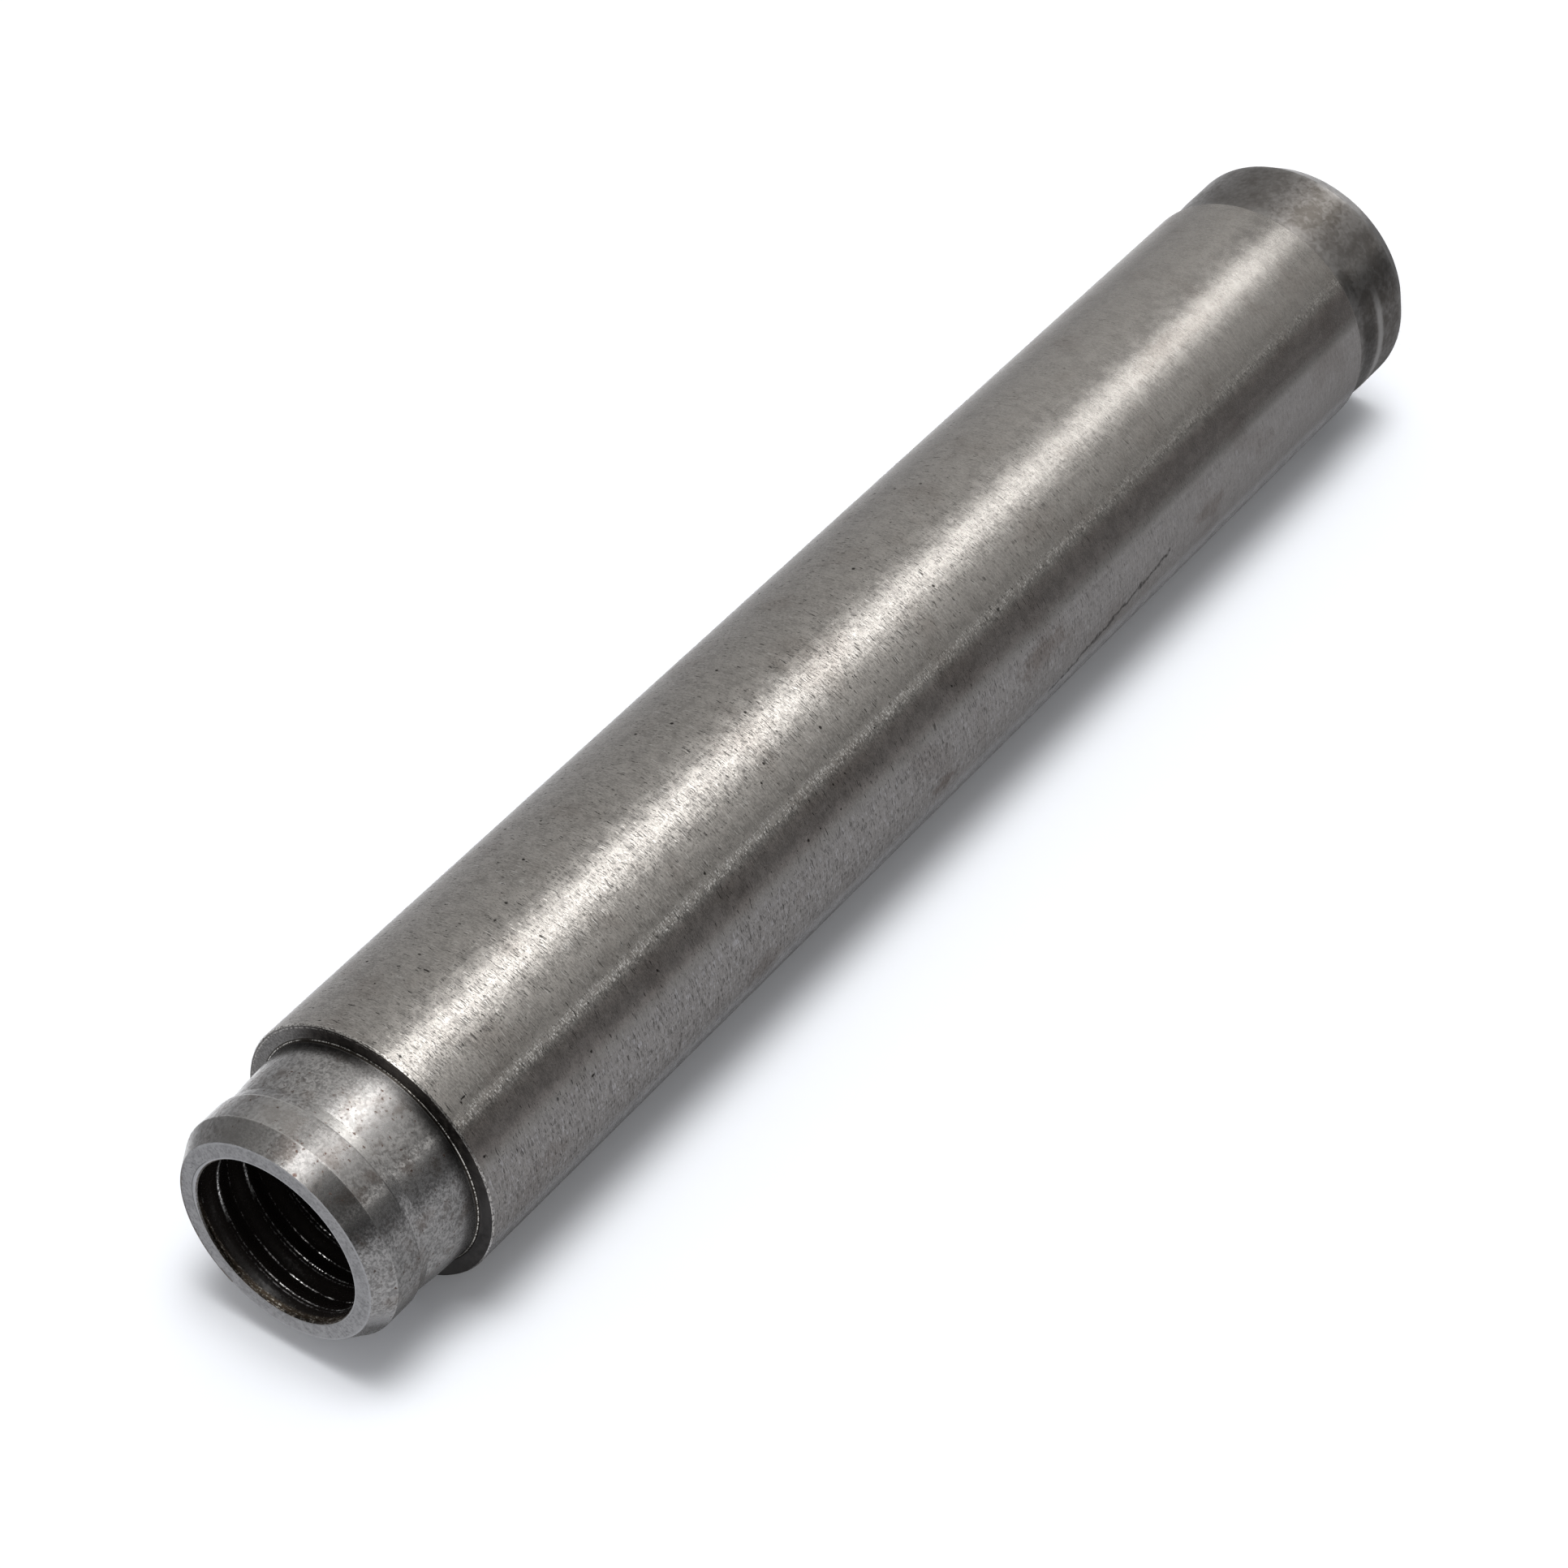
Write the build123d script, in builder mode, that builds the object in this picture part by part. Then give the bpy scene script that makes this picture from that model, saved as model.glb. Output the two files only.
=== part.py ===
from build123d import *

import os

# Valve guide for an 8 mm stem: a long turned tube, ground on its body, with a spigot for a stem seal.
# Millimetres. The guide stands on its port end with the stem axis on +Z, and the seal end is up.
# The origin is on the axis, in the plane of the port end face.

# Overall
overall_length = 79.5
bore_diameter = 8.0
mouth_break = 0.12

# Body, ground to press into the cylinder head
body_diameter = 12.7
shoulder_edge_break = 0.1

# Port end: a collar below the ground size, with a relief where the grinding wheel runs out
collar_length = 4.9
collar_diameter = 12.45
relief_length = 1.9
relief_diameter = 12.38
port_lead_in_length = 1.0
port_face_diameter = 11.25

# Seal end: a spigot with a snap lip, a waist behind it and a flare up to the neck
spigot_length = 6.0
neck_diameter = 11.06
corner_radius = 0.15
waist_diameter = 10.7
waist_flank_length = 0.65
lip_diameter = 11.0
lip_length = 1.4
seal_lead_in_length = 1.0
seal_face_diameter = 9.84

# Radii and stations that follow from the sizes above
body_radius = body_diameter / 2
collar_radius = collar_diameter / 2
relief_radius = relief_diameter / 2
neck_radius = neck_diameter / 2
lip_radius = lip_diameter / 2
relief_step = collar_radius - relief_radius
body_bevel = body_radius - relief_radius
relief_start = collar_length - relief_length
shoulder_height = overall_length - spigot_length
lip_front_height = overall_length - seal_lead_in_length
lip_back_height = lip_front_height - lip_length
waist_height = lip_back_height - waist_flank_length

os.makedirs("parts", exist_ok=True)

with BuildPart() as valve_guide:
    # Half section of the turned blank, to be spun about the stem axis
    with BuildSketch(Plane.XZ):
        with BuildLine():
            # Port end: face, lead-in, collar, relief and the bevel up to the ground body
            port_end = Polyline(
                (0, 0),
                (port_face_diameter / 2, 0),
                (collar_radius, port_lead_in_length),
                (collar_radius, relief_start),
                (relief_radius, relief_start + relief_step),
                (relief_radius, collar_length),
                (body_radius, collar_length + body_bevel),
            )
            # Ground body, its broken edge and the shoulder face
            body_side = Polyline(
                port_end @ 1,
                (body_radius, shoulder_height - shoulder_edge_break),
                (body_radius - shoulder_edge_break, shoulder_height),
                (neck_radius + corner_radius, shoulder_height),
            )
            # Rounded corner between the shoulder and the neck
            corner = TangentArc(
                body_side @ 1,
                (neck_radius, shoulder_height + corner_radius),
                tangent=(-1, 0),
            )
            # Neck: leaves the corner parallel to the axis and curves in to the waist
            flare = TangentArc(
                corner @ 1,
                (waist_diameter / 2, waist_height),
                tangent=corner % 1,
            )
            # Snap lip, its lead-in chamfer and the seal end face
            seal_lip = Polyline(
                flare @ 1,
                (lip_radius, lip_back_height),
                (lip_radius, lip_front_height),
                (seal_face_diameter / 2, overall_length),
                (0, overall_length),
            )
            Line(seal_lip @ 1, port_end @ 0)
        make_face()
    revolve(axis=Axis.Z)

    # Stem bore, right through, with both mouths broken
    with Locations((0, 0, overall_length)):
        Hole(radius=bore_diameter / 2)
    rings = valve_guide.edges().filter_by(GeomType.CIRCLE).group_by(Axis.Z)
    mouths = [end_ring.sort_by(SortBy.RADIUS)[0] for end_ring in (rings[0], rings[-1])]
    chamfer(mouths, length=mouth_break)

valve_guide.part.label = "valve_guide"
export_step(valve_guide.part, "parts/valve_guide.step")
print("volume", round(valve_guide.part.volume, 1), "mm3")
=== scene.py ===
import math

import bmesh
import bpy
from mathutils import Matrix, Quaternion, Vector


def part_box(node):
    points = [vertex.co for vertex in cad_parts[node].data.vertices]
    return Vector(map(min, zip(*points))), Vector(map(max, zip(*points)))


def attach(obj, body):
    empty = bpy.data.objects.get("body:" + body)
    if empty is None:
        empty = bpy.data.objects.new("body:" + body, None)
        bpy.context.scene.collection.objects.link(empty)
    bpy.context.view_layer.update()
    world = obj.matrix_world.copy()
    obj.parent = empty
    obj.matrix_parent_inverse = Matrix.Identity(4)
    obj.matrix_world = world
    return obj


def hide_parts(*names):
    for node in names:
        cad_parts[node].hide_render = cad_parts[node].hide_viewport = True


bl_info = {
    "name": "Valve Guide",
    "version": (1, 0, 0),
    "blender": (4, 5, 0),
    "location": "3D View > Sidebar > Guide",
    "description": "Turns, grinds and lights a valve guide around its packed CAD body",
    "category": "Object",
}

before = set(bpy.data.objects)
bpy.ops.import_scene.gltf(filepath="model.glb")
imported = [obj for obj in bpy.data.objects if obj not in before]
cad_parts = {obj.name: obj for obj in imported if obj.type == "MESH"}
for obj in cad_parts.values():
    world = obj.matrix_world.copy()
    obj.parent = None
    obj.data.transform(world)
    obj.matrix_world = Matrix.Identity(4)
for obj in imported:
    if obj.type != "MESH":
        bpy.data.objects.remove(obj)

NODE = "valve_guide"
LOWEST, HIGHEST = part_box(NODE)
LENGTH = HIGHEST.z - LOWEST.z
BODY_RADIUS = (HIGHEST.x - LOWEST.x) / 2
MM = 0.001
FRONT = 237.6  # bearing of the side that faces the camera, in degrees from +X

# The turned steps, in millimetres. Heights are above the port end face
TOP = round(LENGTH / MM, 3)
SEAL_LEAD_IN = 1.0
LIP_TOP = TOP - SEAL_LEAD_IN
LIP_LENGTH = 1.4
LIP_BOTTOM = LIP_TOP - LIP_LENGTH
WAIST_FLANK = 0.65
WAIST = LIP_BOTTOM - WAIST_FLANK
SPIGOT_LENGTH = 6.0
SHOULDER = TOP - SPIGOT_LENGTH
CORNER_RADIUS = 0.15
NECK = SHOULDER + CORNER_RADIUS
BODY_BOTTOM = 4.9
COLLAR_TOP = 2.95
PORT_LEAD_IN = 1.0

SEAL_FACE_RADIUS = 4.92
LIP_RADIUS = 5.5
NECK_RADIUS = 5.53
WAIST_RADIUS = 5.35
RELIEF_RADIUS = 6.19
COLLAR_RADIUS = 6.225
PORT_FACE_RADIUS = 5.625
FACE_RING_RADIUS = 4.25
MOUTH_RADIUS = 4.3


class Wire:
    """A socket in a node tree. Arithmetic on it adds Math nodes, so a pattern reads as a sum."""

    def __init__(self, bench, socket):
        self.bench = bench
        self.socket = socket

    def __add__(self, other):
        return self.bench.math("ADD", self, other)

    def __radd__(self, other):
        return self.bench.math("ADD", other, self)

    def __sub__(self, other):
        return self.bench.math("SUBTRACT", self, other)

    def __rsub__(self, other):
        return self.bench.math("SUBTRACT", other, self)

    def __mul__(self, other):
        return self.bench.math("MULTIPLY", self, other)

    def __rmul__(self, other):
        return self.bench.math("MULTIPLY", other, self)

    def __truediv__(self, other):
        return self.bench.math("DIVIDE", self, other)

    def __neg__(self):
        return self.bench.math("MULTIPLY", self, -1.0)

    def __abs__(self):
        return self.bench.math("ABSOLUTE", self)

    def __lt__(self, other):
        return self.bench.math("LESS_THAN", self, other)

    def __gt__(self, other):
        return self.bench.math("GREATER_THAN", self, other)

    def other(self, output):
        """Another output of the same node."""
        return Wire(self.bench, self.socket.node.outputs[output])


class Bench:
    """A node tree being drawn up."""

    def __init__(self, tree):
        self.tree = tree
        tree.nodes.clear()

    def node(self, kind, settings=(), inputs=(), output=0):
        """Adds a node with its settings and sockets, and returns the wire of one output."""
        made = self.tree.nodes.new(kind)
        count = len(self.tree.nodes)
        made.location = (220 * (count % 12), -260 * (count // 12))
        for name, value in dict(settings).items():
            setattr(made, name, value)
        for key, value in dict(inputs).items():
            if isinstance(value, Wire):
                self.tree.links.new(value.socket, made.inputs[key])
            else:
                made.inputs[key].default_value = value
        if not made.outputs:
            return made
        return Wire(self, made.outputs[output])

    def math(self, operation, *values):
        return self.node("ShaderNodeMath", {"operation": operation}, dict(enumerate(values)))

    def vector(self, operation, *values):
        return self.node("ShaderNodeVectorMath", {"operation": operation}, dict(enumerate(values)))

    def join(self, x, y, z):
        return self.node("ShaderNodeCombineXYZ", (), {0: x, 1: y, 2: z})

    def split(self, vector):
        first = self.node("ShaderNodeSeparateXYZ", (), {0: vector})
        return tuple(Wire(self, socket) for socket in first.socket.node.outputs)

    def ease(self, value, low, high, start=0.0, end=1.0):
        """Turns value smoothly from start to end as it goes from low to high."""
        settings = {"interpolation_type": "SMOOTHSTEP"}
        inputs = {0: value, 1: low, 2: high, 3: start, 4: end}
        return self.node("ShaderNodeMapRange", settings, inputs)

    def fade(self, value, low, high, start=1.0):
        """start below low, easing to nothing at high."""
        return self.ease(value, low, high, start, 0.0)

    def between(self, value, low, full, thin, high):
        """1 from full to thin, easing to nothing at low and at high."""
        return self.ease(value, low, full) * self.fade(value, thin, high)

    def near(self, value, centre, inner, outer, peak=1.0):
        """peak within inner of centre, easing to nothing at outer."""
        return self.fade(abs(value - centre), inner, outer, peak)

    def most(self, first, *rest):
        """The largest of some values."""
        for value in rest:
            first = self.math("MAXIMUM", first, value)
        return first

    def blend(self, factor, first, second, way="MIX"):
        """Mixes two colours."""
        first, second = (c if isinstance(c, Wire) else (*c, 1.0) for c in (first, second))
        settings = {"data_type": "RGBA", "blend_type": way}
        return self.node("ShaderNodeMix", settings, {0: factor, 6: first, 7: second}, 2)

    def coats(self, tone, *coats):
        """Lays coats over a colour in turn. A coat is its cover, its colour and how it is mixed."""
        for cover, colour, *way in coats:
            tone = self.blend(cover, tone, colour, *way)
        return tone

    def noise(self, vector, scale, detail=2.0, roughness=0.5, distortion=0.0):
        sockets = {"Vector": vector, "Scale": scale, "Detail": detail, "Roughness": roughness}
        return self.node("ShaderNodeTexNoise", (), sockets | {"Distortion": distortion})

    def ramp(self, value, stops):
        """A colour ramp with the given (place, colour) stops."""
        made = self.node("ShaderNodeValToRGB", (), {0: value})
        elements = made.socket.node.color_ramp.elements
        while len(elements) > 1:
            elements.remove(elements[-1])
        elements[0].position = stops[0][0]
        for place, _ in stops[1:]:
            elements.new(place)
        for element, (_, colour) in zip(elements, stops):
            element.color = (*colour, 1.0)
        return made


# Sizes and finishes that a user would change


class GuideSizes(bpy.types.PropertyGroup):
    """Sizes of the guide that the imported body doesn't carry."""

    segments: bpy.props.IntProperty(
        name="Segments", description="Faces round the guide", default=120, min=24, max=512
    )
    bore_radius: bpy.props.FloatProperty(
        name="Bore Radius", description="Radius on the lands of the oil groove",
        default=4.0 * MM, unit="LENGTH",
    )
    mouth_break: bpy.props.FloatProperty(
        name="Mouth Break", description="Chamfer at both mouths of the bore",
        default=0.12 * MM, unit="LENGTH",
    )
    groove_pitch: bpy.props.FloatProperty(
        name="Groove Pitch", description="Rise of the spiral oil groove in one turn",
        default=1.6 * MM, unit="LENGTH",
    )
    groove_depth: bpy.props.FloatProperty(
        name="Groove Depth", description="Depth of the oil groove below its lands",
        default=0.17 * MM, unit="LENGTH",
    )
    land_width: bpy.props.FloatProperty(
        name="Land Width", description="Width of the land between two turns",
        default=0.162 * MM, unit="LENGTH",
    )
    groove_start: bpy.props.FloatProperty(
        name="Groove Start", description="Height of a land over the X axis",
        default=78.29 * MM, unit="LENGTH",
    )
    edge_break: bpy.props.FloatProperty(
        name="Edge Break", description="Rounding of the turned edges",
        default=0.035 * MM, unit="LENGTH",
    )


class GuideFinish(bpy.types.PropertyGroup):
    """Colours and polish of the guide's surfaces."""

    ground_colour: bpy.props.FloatVectorProperty(
        name="Ground Body", description="Colour of the ground body",
        default=(0.465, 0.445, 0.422), subtype="COLOR",
    )
    turned_colour: bpy.props.FloatVectorProperty(
        name="Turned Ends", description="Colour of the turned ends",
        default=(0.5, 0.49, 0.485), subtype="COLOR",
    )
    face_colour: bpy.props.FloatVectorProperty(
        name="End Faces", description="Colour of the matt end faces",
        default=(0.375, 0.375, 0.385), subtype="COLOR",
    )
    oil_colour: bpy.props.FloatVectorProperty(
        name="Oiled Bore", description="Colour of the oily film in the bore",
        default=(0.012, 0.01, 0.009), subtype="COLOR",
    )
    stain_colour: bpy.props.FloatVectorProperty(
        name="Stain", description="Colour of the brown stains",
        default=(0.15, 0.105, 0.08), subtype="COLOR",
    )
    ground_roughness: bpy.props.FloatProperty(
        name="Ground Roughness", description="Roughness of the ground body",
        default=0.26, min=0.0, max=1.0,
    )
    turned_roughness: bpy.props.FloatProperty(
        name="Turned Roughness", description="Roughness of the turned ends",
        default=0.28, min=0.0, max=1.0,
    )


class StudioSettings(bpy.types.PropertyGroup):
    """The camera and the light tent."""

    camera_place: bpy.props.FloatVectorProperty(
        name="Camera", description="Where the camera stands",
        default=(-0.089676, -0.141458, 0.170413), subtype="TRANSLATION",
    )
    camera_turn: bpy.props.FloatVectorProperty(
        name="Camera Turn", description="How the camera is turned",
        size=4, default=(0.11099127, 0.2835817, 0.34729743, -0.88693114), subtype="QUATERNION",
    )
    lens: bpy.props.FloatProperty(
        name="Lens", description="Focal length on a 36 mm sensor, in millimetres",
        default=108.745,
    )
    backdrop_colour: bpy.props.FloatVectorProperty(
        name="Backdrop", description="Colour of the floor and the backdrop",
        default=(0.87, 0.89, 0.93), subtype="COLOR",
    )


# The guide


def eased(corners, steps=3):
    """The outline through (radius, height, ease) corners, rounded, and straight beside a round."""
    line = []
    for i, (radius, height, ease) in enumerate(corners):
        corner = Vector((radius, height))
        if not ease:
            line.append(corner)
            continue
        back = Vector(corners[i - 1][:2]) - corner
        ahead = Vector(corners[i + 1][:2]) - corner
        half_turn = (math.pi - back.angle(ahead)) / 2
        reach = ease * math.tan(half_turn)
        bisector = (back.normalized() + ahead.normalized()).normalized()
        centre = corner + bisector * ease / math.cos(half_turn)
        first = corner + back.normalized() * reach - centre
        last = corner + ahead.normalized() * reach - centre
        if back.length > 4 * reach + ease:
            line.append(corner + back.normalized() * (reach + ease))
        for step in range(steps + 1):
            share = step / steps
            spoke = first.lerp(last, share).normalized() * ease
            line.append(centre + spoke)
        if ahead.length > 4 * reach + ease:
            line.append(corner + ahead.normalized() * (reach + ease))
    return line


def outside(sizes):
    """Radius and height of each ring of the outside, from the seal end face down, in metres."""
    body = BODY_RADIUS / MM
    ease = sizes.edge_break / MM
    flare_length = WAIST - NECK
    flare_depth = NECK_RADIUS - WAIST_RADIUS
    flare_radius = (flare_length**2 + flare_depth**2) / (2 * flare_depth)
    flare = []
    for step in range(1, 8):
        rise = flare_length * (1 - step / 8)
        radius = NECK_RADIUS - flare_radius + math.sqrt(flare_radius**2 - rise**2)
        flare.append((radius, NECK + rise, 0))
    corners = [
        (FACE_RING_RADIUS, TOP, 0),
        (4.6, TOP, 0),
        (SEAL_FACE_RADIUS, TOP, ease),
        (LIP_RADIUS, LIP_TOP, ease),
        (LIP_RADIUS, LIP_BOTTOM, ease),
        (WAIST_RADIUS, WAIST, 2 * ease),
        *flare,
        (NECK_RADIUS, NECK, 0),
        (NECK_RADIUS, SHOULDER, CORNER_RADIUS),
        (body - 0.05, SHOULDER, 0.02),
        (body, SHOULDER - 0.08, 0.04),
        *[(body, height, 0) for height in range(66, 9, -7)],
        (body, BODY_BOTTOM + 0.16, 0.05),
        (RELIEF_RADIUS, BODY_BOTTOM, 0.05),
        (RELIEF_RADIUS, COLLAR_TOP + 0.35, 0),
        (COLLAR_RADIUS - 0.005, COLLAR_TOP, 0),
        (COLLAR_RADIUS, PORT_LEAD_IN, ease),
        (PORT_FACE_RADIUS, 0.0, ease),
        (5.1, 0.0, 0),
        (FACE_RING_RADIUS, 0.0, 0),
    ]
    return [point * MM for point in eased(corners)]


def draw_tube_tree(values, materials):
    """Node tree that spins the outline into a tube and runs a spiral oil groove down its bore."""
    tree = bpy.data.node_groups.new("turned_and_grooved_tube", "GeometryNodeTree")
    sockets = {"Outline": "NodeSocketGeometry"}
    for name, value in values.items():
        sockets[name] = "NodeSocketInt" if isinstance(value, int) else "NodeSocketFloat"
    for name, kind in sockets.items():
        tree.interface.new_socket(name=name, in_out="INPUT", socket_type=kind)
    tree.interface.new_socket(name="Tube", in_out="OUTPUT", socket_type="NodeSocketGeometry")
    b = Bench(tree)
    given = b.node("NodeGroupInput").socket.node.outputs
    outline, segments, length, bore, mouth, pitch, depth, land, start, body_low, body_high = (
        Wire(b, given[name]) for name in sockets
    )
    land_rows, turn_rows = 3, 12

    # One sheet of vertices: rings of the outline first, then rings that climb the bore's groove
    rings = b.node("GeometryNodeAttributeDomainSize", (), {0: outline})
    turns = b.math("CEIL", (length - 2 * mouth) / pitch) + 1
    climbing = turns * turn_rows
    across = segments + 1
    sheet = b.node(
        "GeometryNodeMeshGrid", (), {"Vertices X": rings + climbing + 3, "Vertices Y": across}
    )
    index = b.node("GeometryNodeInputIndex")
    row = b.math("FLOOR", (index + 0.5) / across)
    column = index - row * across
    row = b.math("MODULO", row + 0.25, rings + climbing + 2)
    row = b.math("FLOOR", row)
    turn = b.math("MODULO", column, segments) / segments
    angle = turn * math.tau
    place = b.node(
        "GeometryNodeSampleIndex",
        {"data_type": "FLOAT_VECTOR"},
        {"Geometry": outline, "Value": b.node("GeometryNodeInputPosition"), "Index": row},
    )
    out_radius, _, out_height = b.split(place)

    # Height of a bore ring: it climbs with the angle and is held between the two mouths
    bore_row = row - rings
    climbed = b.most(bore_row - 1, 0.0) + 0.25
    step = b.math("MODULO", climbed, turn_rows) - 0.25
    whole = b.math("FLOOR", climbed / turn_rows)
    land_share = land / pitch
    on_land = step / land_rows * land_share
    on_groove = land_share + (1 - land_share) * (step - land_rows) / (turn_rows - land_rows)
    share = b.math("MINIMUM", on_land, land_share)
    share = share + b.most(on_groove - land_share, 0.0)
    offset = b.math("FRACT", (start - land / 2) / pitch)
    lap = column / segments
    climb = (whole - 2 + offset + share + lap) * pitch
    climb = b.math("MINIMUM", b.most(climb, mouth), length - mouth)
    at_foot = bore_row < 0.5
    at_head = bore_row > climbing + 0.5
    bore_height = climb * (1 - at_foot) * (1 - at_head) + length * at_head

    # Radius of the bore there: the land, the groove beside it and the broken mouths
    phase = b.math("FRACT", (bore_height - start + land / 2) / pitch - turn + 10.0)
    into = b.most((phase - land_share) / (1 - land_share), 0.0)
    hollow = b.fade(abs(into * 2 - 1), 0.0, 1.0)
    from_end = b.math("MINIMUM", bore_height, length - bore_height)
    wall = b.most(depth * hollow, mouth - from_end) + bore
    in_bore = bore_row > -0.5
    radius = out_radius * (1 - in_bore) + wall * in_bore
    height = out_height * (1 - in_bore) + bore_height * in_bore
    spun = b.join(radius * b.math("COSINE", angle), radius * b.math("SINE", angle), height)

    tube = b.node("GeometryNodeSetPosition", (), {"Geometry": sheet, "Position": spun})
    tube = b.node("GeometryNodeMergeByDistance", (), {"Geometry": tube, "Distance": 0.002 * MM})
    smooth = {"Geometry": tube, "Shade Smooth": True}
    tube = b.node("GeometryNodeSetShadeSmooth", {"domain": "FACE"}, smooth)

    # Finish by face, in the order of guide_materials
    x, y, z = b.split(b.node("GeometryNodeInputPosition"))
    span = b.math("SQRT", x * x + y * y)
    _, _, lean = b.split(b.node("GeometryNodeInputNormal"))
    from_end = b.math("MINIMUM", z, length - z)
    inner = (span < bore + depth * 1.1) * (from_end > mouth * 0.9)
    ends = from_end < 0.02 * MM
    ground = (z > body_low) * (z < body_high) * (span > BODY_RADIUS - 0.12 * MM)
    ground = ground * (abs(lean) < 0.9)
    shoulder = (lean > 0.99) * (abs(z - body_high) < 0.06 * MM)
    for material, chosen in zip(materials, (None, ground, ends, inner, shoulder)):
        inputs = {"Geometry": tube, "Material": material}
        if chosen is not None:
            inputs["Selection"] = chosen > 0.5
        tube = b.node("GeometryNodeSetMaterial", (), inputs)
    tube = b.node("GeometryNodeRealizeInstances", (), {"Geometry": tube})
    b.node("NodeGroupOutput", (), {0: tube})
    return tree


def plain_mesh(piece, name):
    """The piece's evaluated shape as a mesh of its own."""
    graph = bpy.context.evaluated_depsgraph_get()
    mesh = bpy.data.meshes.new_from_object(piece.evaluated_get(graph), depsgraph=graph)
    mesh.name = name
    return mesh


def close_outwards(mesh):
    """Turns the mesh's faces outwards. Raises unless every edge has two faces."""
    bm = bmesh.new()
    bm.from_mesh(mesh)
    bmesh.ops.recalc_face_normals(bm, faces=bm.faces)
    open_edges = sum(not edge.is_manifold for edge in bm.edges)
    volume = bm.calc_volume(signed=True)
    bm.to_mesh(mesh)
    bm.free()
    if open_edges or volume <= 0:
        raise RuntimeError(f"{mesh.name}: {open_edges} open edges, volume {volume}")


# Materials. A surface is rolled flat: (way round from the front, height), both in millimetres


def millimetres(b):
    """The piece's own coordinates, in millimetres."""
    own = b.node("ShaderNodeTexCoord", output="Object")
    return b.node("ShaderNodeVectorMath", {"operation": "SCALE"}, {0: own, "Scale": 1 / MM})


def stretched(b, point, round_scale, axis_scale):
    """Coordinates for a pattern drawn out round the guide, or along it."""
    return b.vector("MULTIPLY", point, (round_scale, round_scale, axis_scale))


def bearing_from(b, point, degrees):
    """Bearing round the axis, in radians from the given one."""
    x, y, _ = b.split(point)
    turn = math.radians(degrees)
    ahead = x * math.cos(turn) + y * math.sin(turn)
    aside = y * math.cos(turn) - x * math.sin(turn)
    return b.math("ARCTAN2", aside, ahead)


def rolled_out(b, point):
    """The body's surface rolled flat: the way round from the front bearing, and the height."""
    _, _, z = b.split(point)
    return bearing_from(b, point, FRONT) * (BODY_RADIUS / MM), z


def from_axis(b, point):
    """Distance from the axis."""
    x, y, _ = b.split(point)
    return b.math("SQRT", x * x + y * y)


def marks(b, around, height, long, wide):
    """Marks on a flat surface, one to a cell: (how far the nearest is, its luck), another luck."""
    cells = b.join(around / long, height / wide, 0.0)
    settings = {"voronoi_dimensions": "2D"}
    near = b.node("ShaderNodeTexVoronoi", settings, {"Vector": cells, "Scale": 1.0}, "Distance")
    luck, second, _ = b.split(near.other("Color"))
    return (near, luck), second


def drawn(b, marked, share, size, unlucky=False):
    """1 on the luckiest share of the marks, or on the unluckiest. The extremes are the largest."""
    near, luck = marked
    if unlucky:
        luck = 1.0 - luck
    reach = b.ease(luck, 1 - share, 1.0, size * 0.3, size)
    return b.fade(near, reach * 0.55, reach) * (luck > 1 - share)


def spot(flat, at, wide, tall, rough=0.0):
    """A soft spot on a flat surface. rough is a pattern that breaks up its edge."""
    around, height = flat
    b = around.bench
    across = (around - at[0]) * (2 / wide)
    along = (height - at[1]) * (2 / tall)
    away = b.math("SQRT", across * across + along * along) + rough
    return b.fade(away, 0.4, 1.3)


def tipped(b, point, around_tip, axis_tip):
    """The surface's normal, tipped round the guide and along it. Both tips are slopes."""
    x, y, _ = b.split(point)
    sway = around_tip / from_axis(b, point)
    lean = b.join(-y * sway, x * sway, axis_tip)
    normal = b.node("ShaderNodeNewGeometry", output="Normal")
    return b.vector("NORMALIZE", b.vector("ADD", normal, lean))


def tips(b, pattern, around_gain, axis_gain):
    """Two of a pattern's channels as slopes."""
    first, second, _ = b.split(pattern.other("Color"))
    return (first - 0.5) * around_gain, (second - 0.5) * axis_gain


def shade(colour, share):
    """The colour made darker or lighter."""
    return tuple(c * share for c in colour)


def grey(level):
    return (level, level, level)


def new_material(name):
    material = bpy.data.materials.new(name)
    material.use_nodes = True
    return material, Bench(material.node_tree)


def surface(b, tone, roughness, normal, **sockets):
    """Ends the tree in one Principled shader, metal unless sockets say otherwise."""
    inputs = {"Base Color": tone, "Metallic": 1.0, "Roughness": roughness, "Normal": normal}
    inputs |= {key.replace("_", " "): value for key, value in sockets.items()}
    shader = b.node("ShaderNodeBsdfPrincipled", (), inputs)
    b.node("ShaderNodeOutputMaterial", (), {"Surface": shader})


# Oily dirt and dull metal, both also used to paint shade, and bare metal, also used to paint
# highlights
SOOT_AND_SHADE = (0.02, 0.018, 0.016)
DULL_AND_SHADE = (0.1, 0.095, 0.09)
BARE_AND_HIGHLIGHT = (0.85, 0.84, 0.82)

# Stains on the body: way round and height in millimetres, width, height, strength
BODY_STAINS = [
    (-6.1, 69.5, 1.2, 2.2, 0.22),
    (-7.5, 54.7, 1.8, 2.4, 0.3),
    (-6.9, 41.1, 0.9, 1.8, 0.45),
    (-5.1, 33.0, 1.3, 3.6, 0.35),
    (-6.1, 19.0, 1.0, 3.0, 0.3),
    (1.7, 15.5, 1.3, 9.0, 0.12),
]

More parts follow.
